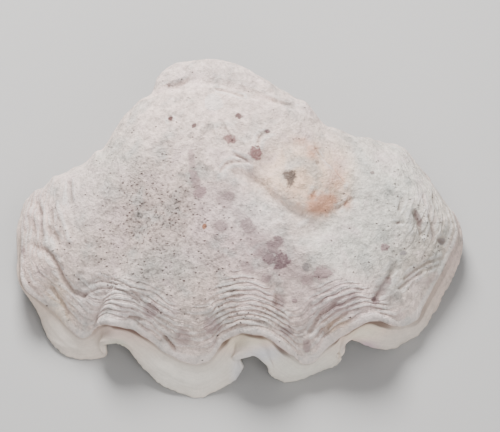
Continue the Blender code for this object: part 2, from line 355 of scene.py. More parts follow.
# folds, gouges and cracks by their pixels in the photograph: the line, its half width, its depth in mm
carvings = (
    (((70, 182), (71, 192), (72, 201)), 2.6, 1.5), (((38, 205), (42, 214)), 4.2, 1.9),
    (((33, 220), (35, 231)), 2.8, 1.3), (((52, 211), (54, 221)), 2.2, 1.1),
    (((51, 231), (55, 235), (59, 239)), 4.4, 2.0),
    (((36, 246), (45, 248), (54, 256), (60, 266), (65, 278), (74, 290), (86, 295)), 2.5, 1.9),
    (((54, 287), (64, 301), (70, 312)), 1.8, 1.3), (((22, 262), (34, 284), (48, 303), (62, 318)), 1.8, 0.9),
    (((44, 222), (43, 236)), 2.0, 0.8), (((132, 315), (142, 317)), 1.7, 2.6),
    (((166, 335), (175, 347)), 1.5, 2.6),
    (((91, 282), (100, 277), (113, 278), (127, 282), (134, 287)), 1.0, 0.8),
    (((92, 283), (103, 280), (117, 282.5), (130, 287), (137, 291), (144, 299)), 1.0, 0.9),
    (((84, 296), (90, 292), (102, 287), (117, 287), (127, 289), (134, 294), (142, 301)), 1.1, 0.9),
    (((413, 212), (417, 222), (420, 234)), 2.6, 2.2), (((401, 199), (398, 210)), 1.8, 1.4),
    (((427, 217), (431, 228), (433, 238)), 1.6, 1.2), (((422, 197), (424, 203)), 1.6, 0.9),
    (((432, 197), (434, 204)), 1.8, 0.9), (((438, 240), (442, 242)), 2.4, 1.3),
    (((440, 248), (444, 252)), 3, 0.9), (((392, 223), (401, 222)), 1.4, 0.8),
    (((441, 257), (428, 262), (416, 268), (403, 278)), 1.7, 1.1),
    (((436, 265), (424, 269), (410, 278), (398, 287)), 1.6, 0.9), (((391, 271), (388, 277)), 2.0, 1.0),
    (((392, 268), (383, 284), (373, 299)), 4.5, 0.9), (((377, 292), (373, 299)), 2.6, 0.6),
    (((320, 327), (317, 333)), 2.0, 1.3), (((344, 312), (332, 320), (322, 332)), 2.2, 1.2),
    (((333, 302), (319, 312), (309, 330)), 2.0, 1.5),
    (((258, 145), (259, 139), (263, 135), (269, 133)), 1.2, 0.9),
    (((221, 172), (226, 165), (235, 162), (250, 163)), 1.3, 0.9),
    (((235, 155.5), (241, 158.5), (247, 161)), 1.2, 1.3), (((276, 294), (277, 304)), 2.6, 1.1),
    (((171, 119), (172, 122)), 1.6, 0.9), (((166, 87), (177, 87), (187, 82)), 2.0, 1.6),
    (((217, 91), (230, 94), (243, 98)), 1.7, 1.2), (((248, 98), (270, 102), (293, 108)), 1.8, 0.6),
    (((126, 118), (122, 123)), 1.6, 0.6),
    (((238, 172), (252, 180), (264, 190), (276, 202), (288, 210), (300, 216)), 5.5, 1.5),
    (((226, 178), (240, 192), (256, 208), (274, 221), (296, 227)), 8.0, -1.3),
    (((310, 150), (320, 160), (333, 174), (344, 187)), 3.0, -1.2),
    (((314, 149), (318, 157), (330, 168), (343, 183)), 1.2, 0.9),
    (((335, 209), (343, 205), (351, 198)), 1.3, 1.0), (((311, 198), (315, 190)), 1.2, 0.9),
    (((44, 205), (46, 220), (48, 232)), 3.0, -1.2), (((28, 206), (28, 225)), 3.2, -0.9),
    (((60, 205), (66, 222), (72, 240)), 3.0, -0.9), (((405, 215), (409, 232)), 3.0, -1.0),
    (((424, 210), (426, 228)), 2.6, -0.9), (((436, 222), (438, 234)), 2.6, -0.9),
)


def lineDistance(pixelX, pixelY, line):
    best = np.full_like(pixelX, 1e6)
    for (x0, y0), (x1, y1) in zip(line[:-1], line[1:]):
        length = (x1 - x0) ** 2 + (y1 - y0) ** 2
        along = np.clip(((pixelX - x0) * (x1 - x0) + (pixelY - y0) * (y1 - y0)) / length, 0, 1)
        best = np.minimum(best, np.hypot(pixelX - x0 - along * (x1 - x0), pixelY - y0 - along * (y1 - y0)))
    return best


def carve(pixelX, pixelY):  # how deep each point is cut, and how much painted shade lies in a narrow cut
    depth, dark = np.zeros_like(pixelX), np.zeros_like(pixelX)
    for line, half, deep in carvings:
        shape = np.exp(-((lineDistance(pixelX, pixelY, line) / half) ** 2))
        depth += valveForm["carveDepth"] * deep * shape
        if deep > 0 and half < 4:
            dark = np.maximum(dark, min(0.75, 0.42 * deep) * shape**1.6)
    return depth, dark


def hollowness(points, normal):  # above 0 in a crevice, below 0 on a ridge
    middle = 0.5 * (np.roll(points, 2, axis=0) + np.roll(points, -2, axis=0))
    return np.clip(((middle - points) * normal).sum(axis=-1), -1.5, 1.5)


def layerHeight(column):  # the old layer stands highest on the arches, and thins out towards the hinge
    return valveForm["oldLayer"] * (0.35 + column["front"] * (0.3 + 0.42 * column["arch"]))


def outerFace(column):
    steps, shares, bands = growthRings(column)
    base = plainSurface(column, steps)
    lumps = surfaceLumps(base) * (1 - smoothStep(steps, 0.7, 1.0))
    points = raiseBeak(base + surfaceWays(column, steps)[0] * (layerHeight(column) + lumps)[..., None])
    points = softenSummit(points)
    normal = gridNormals(points)
    facing = smoothStep(-0.5 * normal[..., 1] + 0.866 * normal[..., 2], 0.05, 0.3)
    growth, grooveShade, region = growthHeight(column, steps, shares, bands)
    # carve also gives the painted shade in the narrow cuts
    depth, dark = carve(*photoPixels(points))
    heights = (growth - facing * depth) * smoothStep(steps, 0.0, 0.04)
    points = points + normal * heights[..., None]
    return {
        "points": points,
        "grooveShade": np.maximum(grooveShade, dark * facing),
        "hollow": hollowness(points, normal),
        "growth": region,
        "facing": facing,
    }


ledgeProfile = {  # from the old layer's top round under it: share of its height, mm beyond the ledge line, and painted shade in the gap under the ledge
    "height": (0.92, 0.72, 0.46, 0.26, 0.16, 0.1),
    "beyond": (0.75, 1.25, 1.3, 0.8, -0.4, -1.7),
    "dark": (0.0, 0.0, 0.1, 0.6, 1.0, 1.0),
}


def ledgeFace(column):
    form = valveForm
    foot = np.ones((1, len(column["across"])))
    normal, downWay = surfaceWays(column, foot)
    layer = layerHeight(column)
    onArch = 0.2 + 0.8 * smoothStep(column["arch"], 0.05, 0.5)
    rise = layer + 0.5 * form["growthRise"] * column["front"] * onArch
    point = plainSurface(column, foot)
    wander = 1.0 + 0.35 * waves(column["across"], 14, 44)
    rings = []
    for height, beyond in zip(ledgeProfile["height"], ledgeProfile["beyond"]):
        away = beyond * wander * (0.4 + 0.6 * layer / form["oldLayer"])
        rings.append(point + normal * (rise * height)[:, None] + downWay * away[:, None])
    return np.concatenate(rings)


def lipFace(column):
    form = valveForm
    across = column["across"]
    share = np.linspace(0.0, 1.0, form["lipRings"])[:, None] ** 1.15
    part = share * np.ones((1, len(across)))
    steps = 1.0 + np.maximum(part, 0.004)
    crown = form["lipCrown"] * (0.55 + 0.65 * column["arch"]) * 4 * part * (1 - part) * (0.7 + 0.6 * part)
    oldPlace = 0.62 + 0.05 * waves(across, 60, 33)   # an older edge of the lip, part of the way down
    oldEdge = 0.35 * (smoothStep(oldPlace - part, 0.0, 0.06) - 1) * smoothStep(part, 0, 0.3)
    ripple = 0.2 * waves(across + 40 * part, 17, 34) * part
    normal, downWay = surfaceWays(column, steps)
    flank = flankShare(column)
    rise = (crown * (1 - 0.85 * flank) + oldEdge + ripple) * column["front"]
    rise = rise + form["edgeThick"] * flank * smoothStep(part, 0.3, 1.0)
    back = (1 - column["front"]) * smoothStep(part, 0.05, 0.25) * (1 - smoothStep(part, 0.9, 1.0))
    wander = 3.0 * waves(across, 70, 72) + 0.6 * waves(across, 16, 73)
    rise = rise + back * (0.5 * waves(24 * part + wander, 5.5, 71) + 0.6 * waves(across + 15 * part, 30, 74))
    points = plainSurface(column, steps) + normal * rise[..., None]
    points[0] -= downWay[0] * (1.8 * column["front"])[:, None]
    rough = 0.42 + 0.8 * smoothStep(column["lip"][:, 0], 112, 135)
    chips = rough * (waves(across, 5.5, 35, 3) + 0.7 * waves(across, 14, 36))
    chips = chips + 0.22 * waves(across, 3.4, 37, 4)
    chips = np.clip(chips, -1.5, 1.0) * (1 - 0.7 * flank) - form["edgeRound"]
    chips = smoothStep(part, 0.7, 1.0) * column["front"] * chips
    points = points + downWay[-1] * chips[..., None]
    return points, downWay[-1]


def evenNormals(column, steps, reach=6.0):  # normals averaged over a few millimetres of the margin
    normal = surfaceWays(column, steps)[0]
    even = np.swapaxes(spread(np.swapaxes(normal, 0, 1), column["lipAcross"], reach), 0, 1)
    return even / np.linalg.norm(even, axis=-1, keepdims=True)


def innerFace(column):
    form = valveForm
    share = np.linspace(0.0, 1.0, form["innerRings"])[:, None]
    steps = (2.0 - 1.985 * share**0.92) * np.ones((1, len(column["across"])))
    wall = form["wallMiddle"] + (form["wallTop"] - form["wallMiddle"]) * (1 - smoothStep(steps, 0.0, 0.6))
    wall = wall + (form["edgeThick"] - form["wallMiddle"]) * smoothStep(steps, 0.8, 2.0)
    hinge = form["wallTop"] + (form["hingeThick"] - form["wallTop"]) * smoothStep(steps, 0.5, 1.1)
    thick = wall + (hinge - wall) * column["hinge"]
    thick = thick - form["edgeThick"] * flankShare(column) * smoothStep(steps, 1.2, 2.0)
    points = plainSurface(column, steps) - evenNormals(column, steps) * thick[..., None]
    deep = points[form["smoothFrom"]:]
    for turn in range(form["innerSmoothing"]):   # the rib creases don't reach far into the hollow
        deep += 0.5 * (0.5 * (np.roll(deep, 1, axis=1) + np.roll(deep, -1, axis=1)) - deep)
    return points


tones = {
    "white": (246, 241, 239), "chalk": (238, 228, 224), "bone": (224, 217, 215),
    "paleCool": (220, 220, 216), "warmGrey": (210, 199, 195), "coolGrey": (200, 200, 197),
    "paleGrey": (214, 211, 207), "mauveGrey": (198, 187, 187), "dusk": (180, 171, 168),
    "peach": (226, 207, 194), "stone": (200, 195, 189), "sand": (212, 198, 182),
    "porcelain": (226, 225, 221), "blush": (240, 226, 217), "wornEdge": (176, 180, 172),
    "violet": (176, 158, 172), "blueGrey": (208, 211, 217),
}
# soft patches of tone by their pixels in the photograph: x, y, half width, half height, tone, strength
bodyTints = (
    (205, 115, 62, 44, "chalk", 1.0), (215, 76, 60, 12, "bone", 0.9), (304, 108, 16, 9, "bone", 0.8),
    (112, 158, 30, 24, "paleGrey", 0.9), (85, 198, 30, 22, "bone", 0.8), (36, 235, 22, 48, "warmGrey", 1.0),
    (152, 216, 44, 48, "dusk", 1.0), (166, 262, 30, 16, "coolGrey", 0.7),
    (228, 222, 30, 36, "mauveGrey", 0.8), (268, 256, 34, 26, "mauveGrey", 0.8),
    (108, 300, 38, 20, "bone", 1.2), (126, 306, 14, 9, "bone", 0.7), (240, 300, 40, 30, "warmGrey", 0.8),
    (335, 302, 36, 24, "mauveGrey", 0.8), (262, 213, 32, 15, "white", 1.6),
    (293, 184, 28, 30, "peach", 0.9), (336, 178, 13, 22, "peach", 0.9), (388, 200, 48, 50, "paleCool", 0.9),
    (345, 246, 38, 24, "paleCool", 0.8), (434, 232, 22, 42, "stone", 0.9), (412, 268, 24, 20, "stone", 0.7),
    (62, 308, 12, 22, "sand", 0.7), (336, 322, 12, 8, "sand", 0.7), (120, 335, 60, 6, "warmGrey", 0.5),
)
lipTints = (
    (75, 338, 34, 20, "paleGrey", 0.8), (185, 372, 48, 24, "porcelain", 0.9),
    (300, 366, 38, 20, "paleCool", 0.9), (400, 336, 40, 18, "paleGrey", 0.9),
    (452, 258, 16, 46, "warmGrey", 0.9), (247, 337, 24, 9, "blush", 1.4),
    (124, 328, 26, 8, "warmGrey", 0.8), (362, 327, 22, 9, "blush", 1.1), (118, 343, 8, 5, "wornEdge", 0.8),
    (362, 345, 12, 5, "violet", 0.8), (262, 350, 16, 8, "blueGrey", 0.8),
    (238, 372, 6, 14, "blueGrey", 0.6),
)
# the crevice and shade colours are painted shade
plainColours = {
    "body": (222, 214, 210), "lip": (218, 210, 204), "inside": (234, 230, 224), "hollow": (224, 217, 208),
    "creviceShade": (116, 98, 92), "pit": (98, 86, 84), "shade": (84, 64, 56), "rust": (184, 138, 116),
    "pinkish": (214, 196, 196), "coolish": (206, 211, 208),
}
markColours = {
    "mauve": (160, 132, 130), "purple": (132, 112, 115), "darkRed": (104, 80, 80), "olive": (126, 113, 106),
    "rose": (170, 148, 149), "orange": (150, 100, 72), "grey": (154, 148, 148),
}
# encrusting spots: x, y, half width, half height, turn in degrees, colour, strength
marks = (
    (256, 155, 7, 5.5, 20, "mauve", 1.0), (230, 140, 6.4, 3.2, 5, "mauve", 0.95),
    (238.5, 117.5, 3.6, 2.2, 0, "darkRed", 0.9), (171.5, 120, 1.8, 2.6, 10, "darkRed", 1.0),
    (195, 127, 1.9, 1.6, 0, "darkRed", 0.9), (267, 132.5, 2.2, 1.3, -15, "purple", 0.9),
    (285.8, 175.6, 4.6, 3.8, 15, "olive", 1.0), (291, 175.8, 4.2, 4.4, 0, "olive", 1.0),
    (289.6, 181.5, 3.2, 5.0, 0, "olive", 1.0), (200, 193, 6, 5, -40, "rose", 0.9),
    (196, 179, 4, 12, -14, "rose", 0.75), (192.5, 159, 3, 9, -8, "rose", 0.6),
    (205, 226, 1.7, 2.4, 15, "orange", 0.85), (225, 200, 9, 6, 40, "purple", 0.5),
    (229, 197, 6, 5, 30, "purple", 0.6), (221, 226, 7, 5, 0, "purple", 0.55),
    (246, 223, 6, 6, 0, "purple", 0.7), (250, 229, 6, 5, 0, "purple", 0.6),
    (240, 215, 9, 5, 35, "purple", 0.4), (278, 241, 6, 5, 0, "purple", 0.8),
    (263, 250, 8, 7, 0, "purple", 0.6), (281, 262, 9, 8, 30, "purple", 0.95),
    (268, 257, 6, 6, 0, "purple", 0.85), (271, 246, 6, 7, 0, "purple", 0.8),
    (266, 277, 6, 4, 0, "purple", 0.6), (247, 266, 7, 5, 30, "purple", 0.5),
    (321, 272, 10, 6, -15, "rose", 0.85), (306, 279, 7, 4.5, 0, "rose", 0.7),
    (279, 300, 5, 8, 10, "purple", 0.6), (294, 299, 2.5, 2.5, 0, "purple", 0.7),
    (305, 266, 3.5, 4.5, 0, "grey", 0.8), (286, 328, 7, 5, 0, "purple", 0.55),
    (306, 344, 4, 5, 0, "rose", 0.7), (336, 304, 7, 4, -30, "rose", 0.55),
    (373, 299, 4, 4, 0, "purple", 0.8), (386, 280, 3.5, 3, 0, "purple", 0.7),
    (380, 288, 4, 12, 30, "purple", 0.5), (382.5, 247, 3.6, 3.2, 0, "rose", 0.9),
    (153, 308, 8, 7, 0, "rose", 0.6), (184, 335, 7, 8, 0, "rose", 0.5), (213, 324, 8, 7, 0, "rose", 0.65),
    (23.6, 250, 4, 4, 0, "purple", 0.6), (416.5, 219, 2.4, 8, -18, "purple", 0.7),
    (316, 163, 2, 2, 0, "olive", 0.7), (176, 84, 9, 2.4, -22, "grey", 0.5),
    (396, 223, 2, 1.4, 0, "darkRed", 0.6), (371, 173, 1.6, 1.2, 0, "darkRed", 0.7),
    (401, 252, 3, 2.4, 0, "grey", 0.9), (440, 241, 3.4, 3, 0, "grey", 0.8),
    (350, 294, 5, 3, 0, "rose", 0.5), (256, 240, 12, 8, 40, "purple", 0.35),
    (290, 270, 14, 7, 10, "rose", 0.35), (430, 277, 7, 4, -40, "rose", 0.4),
)
# rust stains and pitted stretches: x, y, half width, half height, strength
rustPatches = (
    (318, 207, 17, 10, 1.0), (324, 201, 16, 10, 0.9), (312, 197, 7, 7, 0.8), (345, 205, 6, 7, 0.7),
    (330, 186, 14, 12, 0.45), (337, 174, 9, 20, 0.45), (312, 153, 9, 12, 0.6), (300, 142, 12, 7, 0.5),
    (347, 198, 5, 8, 0.5), (290, 196, 14, 8, 0.35), (352, 327, 12, 5, 0.2), (300, 205, 12, 8, 0.4),
    (247, 333, 14, 4, 0.15), (362, 324, 12, 4, 0.2),
)
pittedPatches = (
    (158, 222, 50, 60, 1.0), (150, 190, 34, 34, 0.8), (190, 260, 36, 30, 0.55), (250, 315, 26, 12, 0.45),
    (200, 250, 40, 60, 0.4), (410, 235, 40, 40, 0.2), (70, 235, 30, 50, 0.25),
)
# colours are mixed stronger than they look, as bright light pales them
colourDepth = {"body": 2.5, "marks": 1.35}


def linearColour(colour, depth=colourDepth["body"]):
    share = np.array(colour, dtype=float) / 255.0
    share = np.where(share <= 0.04045, share / 12.92, ((share + 0.055) / 1.055) ** 2.4)
    return np.clip(share.mean() + (share - share.mean()) * depth, 0.0, 1.0)


def softPatch(pixelX, pixelY, x, y, halfWidth, halfHeight):
    return np.exp(-(((pixelX - x) / halfWidth) ** 2) - ((pixelY - y) / halfHeight) ** 2)


def paintTints(pixelX, pixelY, plain, tints):
    colours = np.zeros(pixelX.shape + (3,)) + linearColour(plain)
    total = np.full(pixelX.shape, 0.35)
    mixed = colours * total[..., None]
    for x, y, halfWidth, halfHeight, tone, strength in tints:
        weight = strength * softPatch(pixelX, pixelY, x, y, halfWidth, halfHeight)
        mixed += weight[..., None] * linearColour(tones[tone])
        total += weight
    return mixed / total[..., None]


hollowLook = {
    "pallialLine": (0.2, 0.27),        # share of the way from the margin to the top
    "scarPlace": (24.0, 128.0),        # the muscle scar, in the valve's own millimetres
    "scarHalf": (27.0, 19.0),
}


def paintHollow(rings, places):  # porcelain inside the margin, duller above the pallial line and in the scar
    inner = places["inner"]
    colours = np.zeros(rings.shape) + linearColour(plainColours["inside"])
    share = np.linspace(0.0, 1.0, inner.stop - inner.start)[:, None] + 0.0 * rings[inner][..., 0]
    dull = 0.6 * smoothStep(share, *hollowLook["pallialLine"])
    far = np.hypot(
        (rings[inner][..., 0] - hollowLook["scarPlace"][0]) / hollowLook["scarHalf"][0],
        (rings[inner][..., 1] - hollowLook["scarPlace"][1]) / hollowLook["scarHalf"][1],
    )
    dull = np.maximum(dull, 1 - smoothStep(far, 0.85, 1.05))
    colours[inner] += dull[..., None] * (linearColour(plainColours["hollow"]) - colours[inner])
    return colours


def paintMarks(pixelX, pixelY):
    field, strength = np.zeros_like(pixelX), np.zeros_like(pixelX)
    colours = np.zeros(pixelX.shape + (3,)) + linearColour(markColours["mauve"], colourDepth["marks"])
    for x, y, halfWidth, halfHeight, turn, colour, strong in marks:
        angle = math.radians(turn)
        dx, dy = pixelX - x, pixelY - y
        along = (dx * math.cos(angle) + dy * math.sin(angle)) / (halfWidth + 0.6)
        aside = (-dx * math.sin(angle) + dy * math.cos(angle)) / (halfHeight + 0.6)
        cone = np.clip(1.5 - np.hypot(along, aside), 0, None)
        nearer = cone > field
        field = np.maximum(field, cone)
        strength[nearer] = strong
        colours[nearer] = 0.78 * linearColour(markColours[colour], colourDepth["marks"])
    return field, strength, colours


def paintPatches(pixelX, pixelY, patches):
    total = np.zeros_like(pixelX)
    for x, y, halfWidth, halfHeight, strength in patches:
        total = np.maximum(total, strength * softPatch(pixelX, pixelY, x, y, halfWidth, halfHeight))
    return total


# on the hinge side there is no ledge, only a worn round corner
def roundCorner(rings, column, places, passes=40, above=10, below=7):
    first, last = places["ledge"].start - above, places["lip"].start + below
    share = 0.5 * (1 - column["front"])[:, None]
    for turn in range(passes):
        middle = 0.5 * (rings[first - 1:last - 1] + rings[first + 1:last + 1])
        rings[first:last] += share * (middle - rings[first:last])
    return rings


def shapeValve():
    form = valveForm
    column = columns()
    outer = outerFace(column)
    ledge = ledgeFace(column)
    lip, edgeWay = lipFace(column)
    inner = innerFace(column)
    edge = []
    for share, push in form["edgeArc"]:
        edge.append((1 - share) * lip[-1] + share * inner[0] + edgeWay * push * form["edgeRound"])
    parts = {"outer": outer["points"], "ledge": ledge, "lip": lip, "edge": np.array(edge), "inner": inner}
    places, start = {}, 0
    for name, part in parts.items():
        places[name] = slice(start, start + len(part))
        start += len(part)
    rings = roundCorner(np.concatenate(list(parts.values())), column, places)
    rings = nudgeOutline(rings)
    print("valve rings and columns", rings.shape[:2])
    return column, outer, rings, places


def sphereOnto(rings, poles):  # a UV sphere's rings and columns, moved onto the valve's
    ringCount, columnCount = rings.shape[:2]
    bpy.ops.object.select_all(action="DESELECT")
    bpy.ops.mesh.primitive_uv_sphere_add(segments=columnCount, ring_count=ringCount + 1, radius=1.0)
    valve = bpy.context.object
    mesh = valve.data
    flat = np.empty(len(mesh.vertices) * 3)
    mesh.vertices.foreach_get("co", flat)
    place = flat.reshape(-1, 3)
    ring = np.round(np.arccos(np.clip(place[:, 2], -1, 1)) / (math.pi / (ringCount + 1))).astype(int)
    angle = np.arctan2(place[:, 1], place[:, 0])
    turn = np.round(angle / (2 * math.pi / columnCount)).astype(int) % columnCount
    moved = rings[np.clip(ring - 1, 0, ringCount - 1), turn]
    moved[ring == 0] = poles[0]
    moved[ring > ringCount] = poles[1]
    moved[:, :2] -= np.array(valveForm["planCentre"])
    mesh.vertices.foreach_set("co", (moved * valveForm["mm"]).ravel())
    mesh.update()
    return valve, ring, turn


def addMask(valve, name, grid, ring, turn):
    values = grid[np.clip(ring - 1, 0, grid.shape[0] - 1), turn].astype(np.float32)
    if values.ndim == 1:
        mask = valve.data.attributes.new(name, "FLOAT", "POINT")
        mask.data.foreach_set("value", values)
    else:
        mask = valve.data.attributes.new(name, "FLOAT_COLOR", "POINT")
        opaque = np.ones((len(values), 1), np.float32)
        mask.data.foreach_set("color", np.concatenate((values, opaque), axis=1).ravel())


def addGroup(valve, name, grid, ring, turn, count=20):
    values = grid[np.clip(ring - 1, 0, grid.shape[0] - 1), turn]
    group = valve.vertex_groups.new(name=name)
    levels = np.round(values * count).astype(int)
    for level in range(1, count + 1):
        group.add(np.flatnonzero(levels == level).tolist(), level / count, "REPLACE")


reliefLayers = (  # fine relief, by the width of its lumps and their height in metres
    {"name": "swells", "group": "outside", "width": 0.016, "height": 0.0016},
    {"name": "knobs", "group": "crumpled", "width": 0.0046, "height": 0.0028},
    {"name": "chalk", "group": "outside", "width": 0.0036, "height": 0.0009},
)


def addRelief(valve):
    for layer in reliefLayers:
        texture = bpy.data.textures.new(layer["name"], "CLOUDS")
        texture.noise_scale = layer["width"]
        texture.noise_depth = 2
        bpy.ops.object.modifier_add(type="DISPLACE")
        relief = valve.modifiers[-1]
        relief.name = layer["name"]
        relief.texture = texture
        relief.texture_coords = "LOCAL"
        relief.vertex_group = layer["group"]
        relief.strength = layer["height"]
        relief.mid_level = 0.5
        bpy.ops.object.modifier_apply(modifier=relief.name)
        print("relief", layer["name"])


def settle(mesh, low=-0.0014, high=0.004):  # worn flat where it stands, without a fin round the worn facets
    flat = np.empty(len(mesh.vertices) * 3)
    mesh.vertices.foreach_get("co", flat)
    height = flat[2::3]
    height = np.where(height < high, (height - low) / (high - low) * high, height)
    flat[2::3] = np.maximum(height, 0.0)
    mesh.vertices.foreach_set("co", flat)
    mesh.update()


shadeLook = {  # the painted shadow line, partly dirt, where the lip comes out from under the ledge, in millimetres and shares
    "ledgeGap": 1.8,             # the lip's first ring lies this far under the ledge
    "onTongue": 0.32,
    "onArch": 0.68,              # added to that
    "onRightEnd": 0.65,
    "rightEnd": (106, 124),
    "reach": 1.4,
    "archReach": 1.9,
    "fade": 1.3,
}
tintLook = {
    "paleRings": 6,              # the old layer's rim is paler
    "paleRim": 1.08,
    "lipLight": 1.2,
    "lipLimit": 0.96,
    "warmShade": 0.05,              # painted warm shade: the lip darker and warmer near the ledge
    "warmChannels": (0.6, 1.0, 1.15),
    "warmReach": (2.0, 11.0),
    "plainPits": 0.035,
    "lipRingsInside": 2,         # the lip's colour runs a little way into the hollow
}


def onParts(shape, places, **values):  # nothing, apart from on the named parts of the valve
    mask = np.zeros(shape)
    for name, value in values.items():
        mask[places[name]] = value
    return mask


def ledgeDistance(lip):
    steps = np.linalg.norm(np.diff(lip, axis=0), axis=-1)
    return np.concatenate((np.zeros_like(steps[:1]), np.cumsum(steps, axis=0))) - shadeLook["ledgeGap"]


def contactShade(column, fromLedge):
    look = shadeLook
    steep = flankShare(column)
    overhang = look["onTongue"] + look["onArch"] * smoothStep(column["arch"], 0.0, 0.85)
    rightEnd = smoothStep(column["lip"][:, 0], *look["rightEnd"])
    overhang = np.maximum(overhang, look["onRightEnd"] * rightEnd)
    reach = look["reach"] + look["archReach"] * overhang * (1 - 0.9 * steep)
    shade = (1 - smoothStep(fromLedge, reach, reach + look["fade"])) * overhang
    return shade * (1 - 0.3 * steep) * column["front"]


def valveTint(rings, places, seen, lip, inside, fromLedge):
    look = tintLook
    pixelX, pixelY = photoPixels(rings)
    plainBody = linearColour(plainColours["body"])
    tint = paintTints(pixelX, pixelY, plainColours["body"], bodyTints)
    tint[places["outer"]][-look["paleRings"]:] *= look["paleRim"]
    tint[places["ledge"]] *= look["paleRim"]
    tint = plainBody + (tint - plainBody) * seen[..., None]
    lipTint = look["lipLight"] * paintTints(pixelX, pixelY, plainColours["lip"], lipTints)
    # painted warm shade on the lip near the ledge
    warmShade = look["warmShade"] * (1 - smoothStep(fromLedge, *look["warmReach"]))[..., None]
    lipTint[places["lip"]] *= 1 - warmShade * np.array(look["warmChannels"])
    tint += lip[..., None] * (np.minimum(lipTint, look["lipLimit"]) - tint)
    return tint + inside[..., None] * (paintHollow(rings, places) - tint)


def valveMasks(column, outer, rings, places):  # what the material reads, by ring and column
    shape, front = rings.shape[:2], column["front"]
    pixelX, pixelY = photoPixels(rings)
    start = places["inner"].start
    hollowStart = start + tintLook["lipRingsInside"]
    seen = onParts(shape, places, outer=outer["facing"], ledge=front)
    lip = onParts(shape, places, lip=front, edge=front)
    lip[start:hollowStart] = front
    inside = np.zeros(shape)
    inside[hollowStart:] = 1.0
    fromLedge = ledgeDistance(rings[places["lip"]])
    # painted shade in the gap under the ledge
    ledgeShade = np.array(ledgeProfile["dark"])[:, None] * front
    growth = onParts(shape, places, outer=outer["growth"], ledge=front)
    growth[places["outer"]][-4:] *= 0.35
    growth[places["ledge"]] *= 0.3
    field, strength, colours = paintMarks(pixelX, pixelY)
    rust = paintPatches(pixelX, pixelY, rustPatches)
    pits = paintPatches(pixelX, pixelY, pittedPatches)
    steps = np.linalg.norm(np.diff(rings, axis=0), axis=-1).mean(axis=1)
    down = np.concatenate(((0.0,), np.cumsum(steps)))[:, None] * valveForm["mm"]
    return {
        "tint": valveTint(rings, places, seen, lip, inside, fromLedge),
        "markColour": colours,
        "markField": field * seen,
        "markStrength": strength * seen,
        "rust": rust * np.maximum(seen, lip),
        "pitted": tintLook["plainPits"] * (1 - inside - lip) + pits * seen,
        "grooveShade": onParts(shape, places, outer=outer["grooveShade"], ledge=ledgeShade),
        "contact": onParts(shape, places, lip=contactShade(column, fromLedge)),
        "hollow": onParts(shape, places, outer=outer["hollow"]),
        "growth": growth,
        "lip": lip,
        "inside": inside,
        "downWay": np.zeros(shape) + down,
    }


def crumpledShare(column, masks, places):  # the growth bands crumple into knobs on the tongues
    crumpled = masks["growth"] * (1 - smoothStep(column["wideArch"], 0.1, 0.6))
    crumpled = crumpled * (1 - masks["lip"] - masks["inside"])
    crumpled = crumpled * (0.15 + 0.85 * smoothStep(column["ledge"][:, 0], -86, -66))
    crumpled[places["ledge"]] = 0.0
    return np.clip(crumpled, 0, 1)


def buildValve():
    column, outer, rings, places = shapeValve()
    summit = raiseUmbo(np.array([valveForm["summit"]]))
    under = summit - np.array((0.0, 0.0, valveForm["wallTop"]))
    valve, ring, turn = sphereOnto(rings, (rings[0].mean(axis=0), under[0]))
    valve.name = "weathered_valve"
    masks = valveMasks(column, outer, rings, places)
    for name, grid in masks.items():
        addMask(valve, name, grid, ring, turn)
    back = 1 - column["front"]
    outside = onParts(rings.shape[:2], places, outer=1.0, ledge=back, lip=back)
    addGroup(valve, "outside", outside, ring, turn)
    addGroup(valve, "crumpled", crumpledShare(column, masks, places), ring, turn)
    addRelief(valve)
    settle(valve.data)
    bpy.ops.object.shade_smooth_by_angle(angle=math.radians(60))
    print("valve shaped,", len(valve.data.polygons), "faces")
    return valve


def addNode(tree, kind, inputs=None, **settings):
    made = tree.nodes.new(kind)
    for name, value in settings.items():
        setattr(made, name, value)
    for name, value in (inputs or {}).items():
        if isinstance(value, bpy.types.NodeSocket):
            tree.links.new(value, made.inputs[name])
        else:
            made.inputs[name].default_value = value
    return made


def calculate(tree, operation, first, second=0.0, third=0.0, clamp=False):
    inputs = {0: first, 1: second, 2: third}
    return addNode(tree, "ShaderNodeMath", inputs, operation=operation, use_clamp=clamp).outputs[0]


def times(tree, first, second):
    return calculate(tree, "MULTIPLY", first, second)


def timesPlus(tree, first, second, third):
    return calculate(tree, "MULTIPLY_ADD", first, second, third)


def between(tree, value, low, high, start=0.0, end=1.0):  # a soft edge from low to high
    inputs = {"Value": value, "From Min": low, "From Max": high, "To Min": start, "To Max": end}
    return addNode(tree, "ShaderNodeMapRange", inputs, interpolation_type="SMOOTHSTEP").outputs[0]


def blendColours(tree, factor, first, second, mode="MIX"):
    inputs = {0: factor, 6: first, 7: second}
    return addNode(tree, "ShaderNodeMix", inputs, data_type="RGBA", blend_type=mode).outputs[2]


def noise(tree, vector, scale, detail=2.0, rough=0.5, warp=0.0):
    inputs = {"Vector": vector, "Scale": scale, "Detail": detail, "Roughness": rough, "Distortion": warp}
    return addNode(tree, "ShaderNodeTexNoise", inputs).outputs["Fac"]


def attribute(tree, name, output="Fac"):
    return addNode(tree, "ShaderNodeAttribute", attribute_name=name).outputs[output]


def flatColour(name):
    return (*[float(part) for part in linearColour(plainColours[name], colourDepth["marks"])], 1.0)


